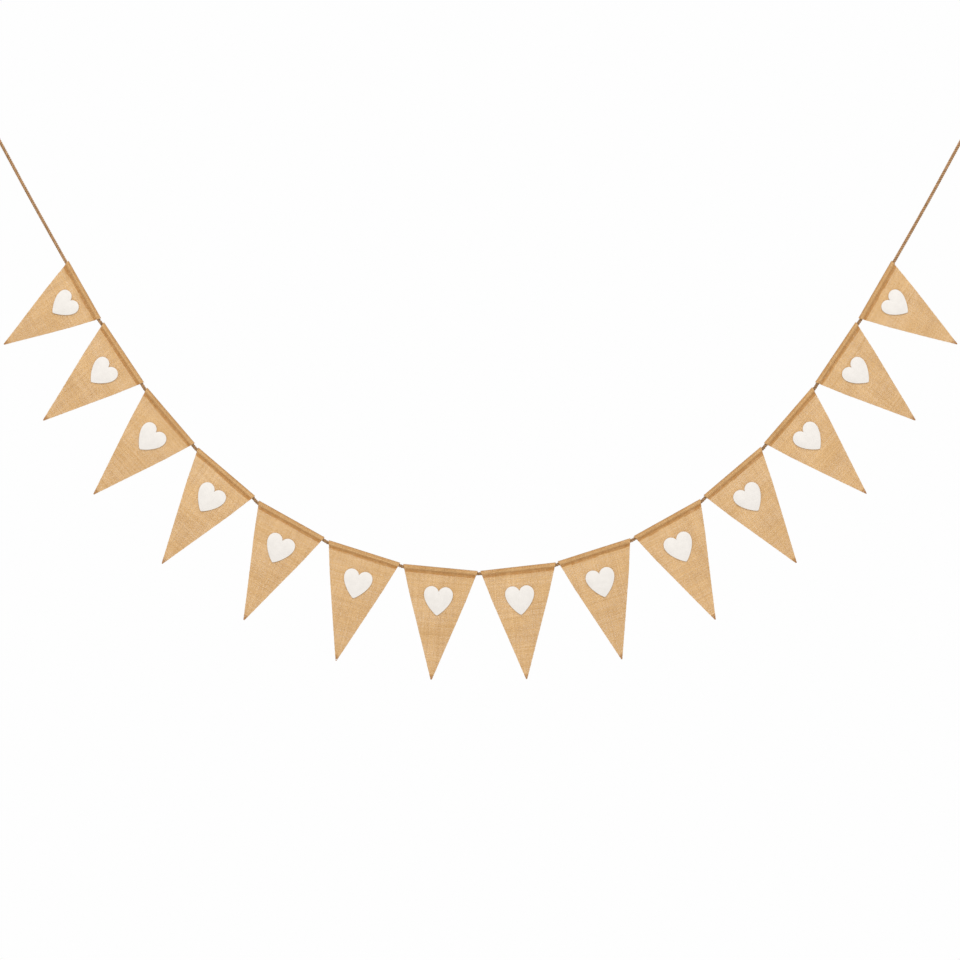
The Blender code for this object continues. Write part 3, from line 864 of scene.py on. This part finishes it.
def tone_group():
    """Uneven natural colour: from dark to light by thread, by fibre and in broad patches. The
    thread and fibre tones it is given can bring painted shade.
    """
    group, given, made = new_group(
        "uneven tone",
        [("Dark", "NodeSocketColor", (0.3, 0.2, 0.1, 1)),
         ("Light", "NodeSocketColor", (0.8, 0.6, 0.4, 1)),
         ("Fibre Tone", "NodeSocketFloat", 0.5), ("Fibre Amount", "NodeSocketFloat", 0.5),
         ("Thread Amount", "NodeSocketFloat", 0.2), ("Patch Amount", "NodeSocketFloat", 0.2),
         ("Patch Scale", "NodeSocketFloat", 20.0)],
        [("Color", "NodeSocketColor")])
    shade = add_node(group, "ShaderNodeAttribute", attribute_name="thread_shade")
    place = add_node(group, "ShaderNodeTexCoord")
    patches = add_node(group, "ShaderNodeTexNoise",
                       [("Vector", place.outputs["Object"]),
                        ("Scale", given.outputs["Patch Scale"]), ("Detail", 3.0)])

    def weighted(source, middle, amount):
        centred = add_node(group, "ShaderNodeMath", [(0, source), (1, middle)],
                           operation="SUBTRACT")
        return add_node(group, "ShaderNodeMath", [(0, centred.outputs[0]), (1, amount)],
                        operation="MULTIPLY").outputs[0]

    parts = [weighted(given.outputs["Fibre Tone"], 0.5, given.outputs["Fibre Amount"]),
             weighted(shade.outputs["Fac"], 0.0, given.outputs["Thread Amount"]),
             weighted(patches.outputs["Fac"], 0.5, given.outputs["Patch Amount"])]
    total = 0.5
    for part in parts:
        total = add_node(group, "ShaderNodeMath", [(0, part), (1, total)],
                         operation="ADD").outputs[0]
    mix = add_node(group, "ShaderNodeMix", data_type="RGBA", clamp_factor=True)
    group.links.new(total, mix.inputs[0])
    group.links.new(given.outputs["Dark"], mix.inputs[6])
    group.links.new(given.outputs["Light"], mix.inputs[7])
    group.links.new(mix.outputs[2], made.inputs["Color"])
    return group


def new_material(name, roughness, sheen):
    material = bpy.data.materials.new(name)
    material.use_nodes = True
    shader = material.node_tree.nodes["Principled BSDF"]
    shader.inputs["Roughness"].default_value = roughness
    shader.inputs["Sheen Weight"].default_value = sheen
    shader.inputs["Specular IOR Level"].default_value = 0.25
    return material, material.node_tree, shader


def thread_material(name, groups, look):
    """Spun jute: helical fibres, uneven colour with painted shade at the threads' sides, and a
    matt, slightly hairy surface.
    """
    material, tree, shader = new_material(name, roughness=0.9, sheen=0.15)
    fibres = add_node(tree, "ShaderNodeGroup", [("Fibre Width", look.fibre_width),
                                                ("Fibre Length", look.fibre_length),
                                                ("Turns per Metre", look.turns),
                                                ("Rim Reach", look.rim_reach)],
                      node_tree=groups["fibres"])
    colour = add_node(tree, "ShaderNodeGroup", [("Dark", look.dark), ("Light", look.light),
                                                ("Fibre Tone", fibres.outputs["Tone"]),
                                                ("Fibre Amount", look.fibre_amount),
                                                ("Thread Amount", look.thread_amount),
                                                ("Patch Amount", look.patch_amount),
                                                ("Patch Scale", look.patch_scale)],
                      node_tree=groups["tone"])
    height = add_node(tree, "ShaderNodeBump", [("Height", fibres.outputs["Height"]),
                                               ("Strength", 1.0),
                                               ("Distance", look.fibre_width)])
    tree.links.new(height.outputs["Normal"], shader.inputs["Normal"])
    return material, tree, shader, colour.outputs["Color"]


def hessian_material(groups):
    """Jute yarn, with painted shade where the cloth lies double: darker and browner, in uneven
    patches.
    """
    material, tree, shader, colour = thread_material("hessian_yarn", groups, HESSIAN_YARN)
    doubled = add_node(tree, "ShaderNodeAttribute", attribute_name="doubled")
    place = add_node(tree, "ShaderNodeTexCoord")
    patches = add_node(tree, "ShaderNodeTexNoise", [("Vector", place.outputs["Object"]),
                                                    ("Scale", 90.0), ("Detail", 2.0)])
    uneven = add_node(tree, "ShaderNodeMapRange", [("Value", patches.outputs["Fac"]),
                                                   ("From Min", 0.3), ("From Max", 0.7),
                                                   ("To Min", 0.5), ("To Max", 1.0)])
    amount = add_node(tree, "ShaderNodeMath", [(0, doubled.outputs["Fac"]),
                                               (1, uneven.outputs[0])], operation="MULTIPLY")
    darker = add_node(tree, "ShaderNodeMix", data_type="RGBA", blend_type="MULTIPLY")
    tree.links.new(amount.outputs[0], darker.inputs[0])
    tree.links.new(colour, darker.inputs[6])
    darker.inputs[7].default_value = SHADE_AND_TIP_TINT
    tree.links.new(darker.outputs[2], shader.inputs["Base Color"])
    return material


def string_material(groups):
    material, tree, shader, colour = thread_material("jute_string_ply", groups, STRING_PLY)
    tree.links.new(colour, shader.inputs["Base Color"])
    return material


def felt_material(groups):
    """Pressed wool: a matted, fine surface with faint uneven tone."""
    material, tree, shader = new_material("wool_felt", roughness=0.95, sheen=0.3)
    place = add_node(tree, "ShaderNodeTexCoord")
    mat = add_node(tree, "ShaderNodeTexNoise", [("Vector", place.outputs["Object"]),
                                                ("Scale", 1500.0), ("Detail", 4.0),
                                                ("Roughness", 0.65), ("Distortion", 1.5)])
    colour = add_node(tree, "ShaderNodeGroup", [("Dark", FELT_DARK), ("Light", FELT_LIGHT),
                                                ("Fibre Tone", mat.outputs["Fac"]),
                                                ("Fibre Amount", 1.0), ("Thread Amount", 0.0),
                                                ("Patch Amount", 0.5), ("Patch Scale", 90.0)],
                      node_tree=groups["tone"])
    height = add_node(tree, "ShaderNodeBump", [("Height", mat.outputs["Fac"]),
                                               ("Strength", 0.5), ("Distance", 0.0003)])
    tree.links.new(colour.outputs["Color"], shader.inputs["Base Color"])
    tree.links.new(height.outputs["Normal"], shader.inputs["Normal"])
    return material


# Studio


def make_studio():
    scene = bpy.context.scene
    scene.view_settings.view_transform = "Standard"
    world = bpy.data.worlds.new("studio")
    world.use_nodes = True
    backdrop = world.node_tree.nodes["Background"]
    seen = add_node(world.node_tree, "ShaderNodeLightPath")
    strength = add_node(world.node_tree, "ShaderNodeMapRange",
                        [("Value", seen.outputs["Is Camera Ray"]), ("To Min", AMBIENT),
                         ("To Max", BACKDROP)])
    world.node_tree.links.new(strength.outputs[0], backdrop.inputs["Strength"])
    backdrop.inputs["Color"].default_value = (1, 1, 1, 1)
    scene.world = world

    bm = bmesh.new()
    bmesh.ops.create_grid(bm, x_segments=1, y_segments=1, size=1.0)
    for vert in bm.verts:
        vert.co.x = VIEW_CENTRE.x + vert.co.x * FLOOR_HALF_WIDTH
        vert.co.y = FLOOR_BACK if vert.co.y > 0 else FLOOR_FRONT
        vert.co.z = FLOOR_HEIGHT
    mesh = bpy.data.meshes.new("floor")
    bm.to_mesh(mesh)
    bm.free()
    paper, tree, shader = new_material("pale_floor", roughness=0.9, sheen=0.0)
    grain = add_node(tree, "ShaderNodeTexNoise", [("Scale", 60.0), ("Detail", 3.0)])
    tint = add_node(tree, "ShaderNodeMapRange", [("Value", grain.outputs["Fac"]),
                                                 ("To Min", 0.88), ("To Max", 0.92)])
    tree.links.new(tint.outputs[0], shader.inputs["Base Color"])
    mesh.materials.append(paper)
    floor = bpy.data.objects.new("floor", mesh)
    scene.collection.objects.link(floor)

    add_soft_light("key", KEY_PLACE, KEY_SIZE, KEY_POWER)


def add_soft_light(name, place, size, power):
    data = bpy.data.lights.new(name, "AREA")
    data.size = size
    data.energy = power
    light = bpy.data.objects.new(name, data)
    light.location = place
    aim = VIEW_CENTRE - place
    light.rotation_euler = aim.to_track_quat("-Z", "Y").to_euler()
    bpy.context.scene.collection.objects.link(light)


def main():
    make_camera()
    groups = {"fibres": fibre_group(), "tone": tone_group()}
    hessian = hessian_material(groups)
    felt = felt_material(groups)

    for piece in make_string(string_material(groups)):
        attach(piece, "root")

    route = [Vector((x, 0.0, z)) for x, z in STRING_ROUTE]
    for index, pennant in enumerate(PENNANTS):
        mouth = FIRST_MOUTH + 2 * index
        woven, heart = hang_pennant(
            index + 1, pennant, (route[mouth], route[mouth + 1]), hessian, felt)
        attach(woven, "root")
        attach(heart, "root")
    make_studio()


main()
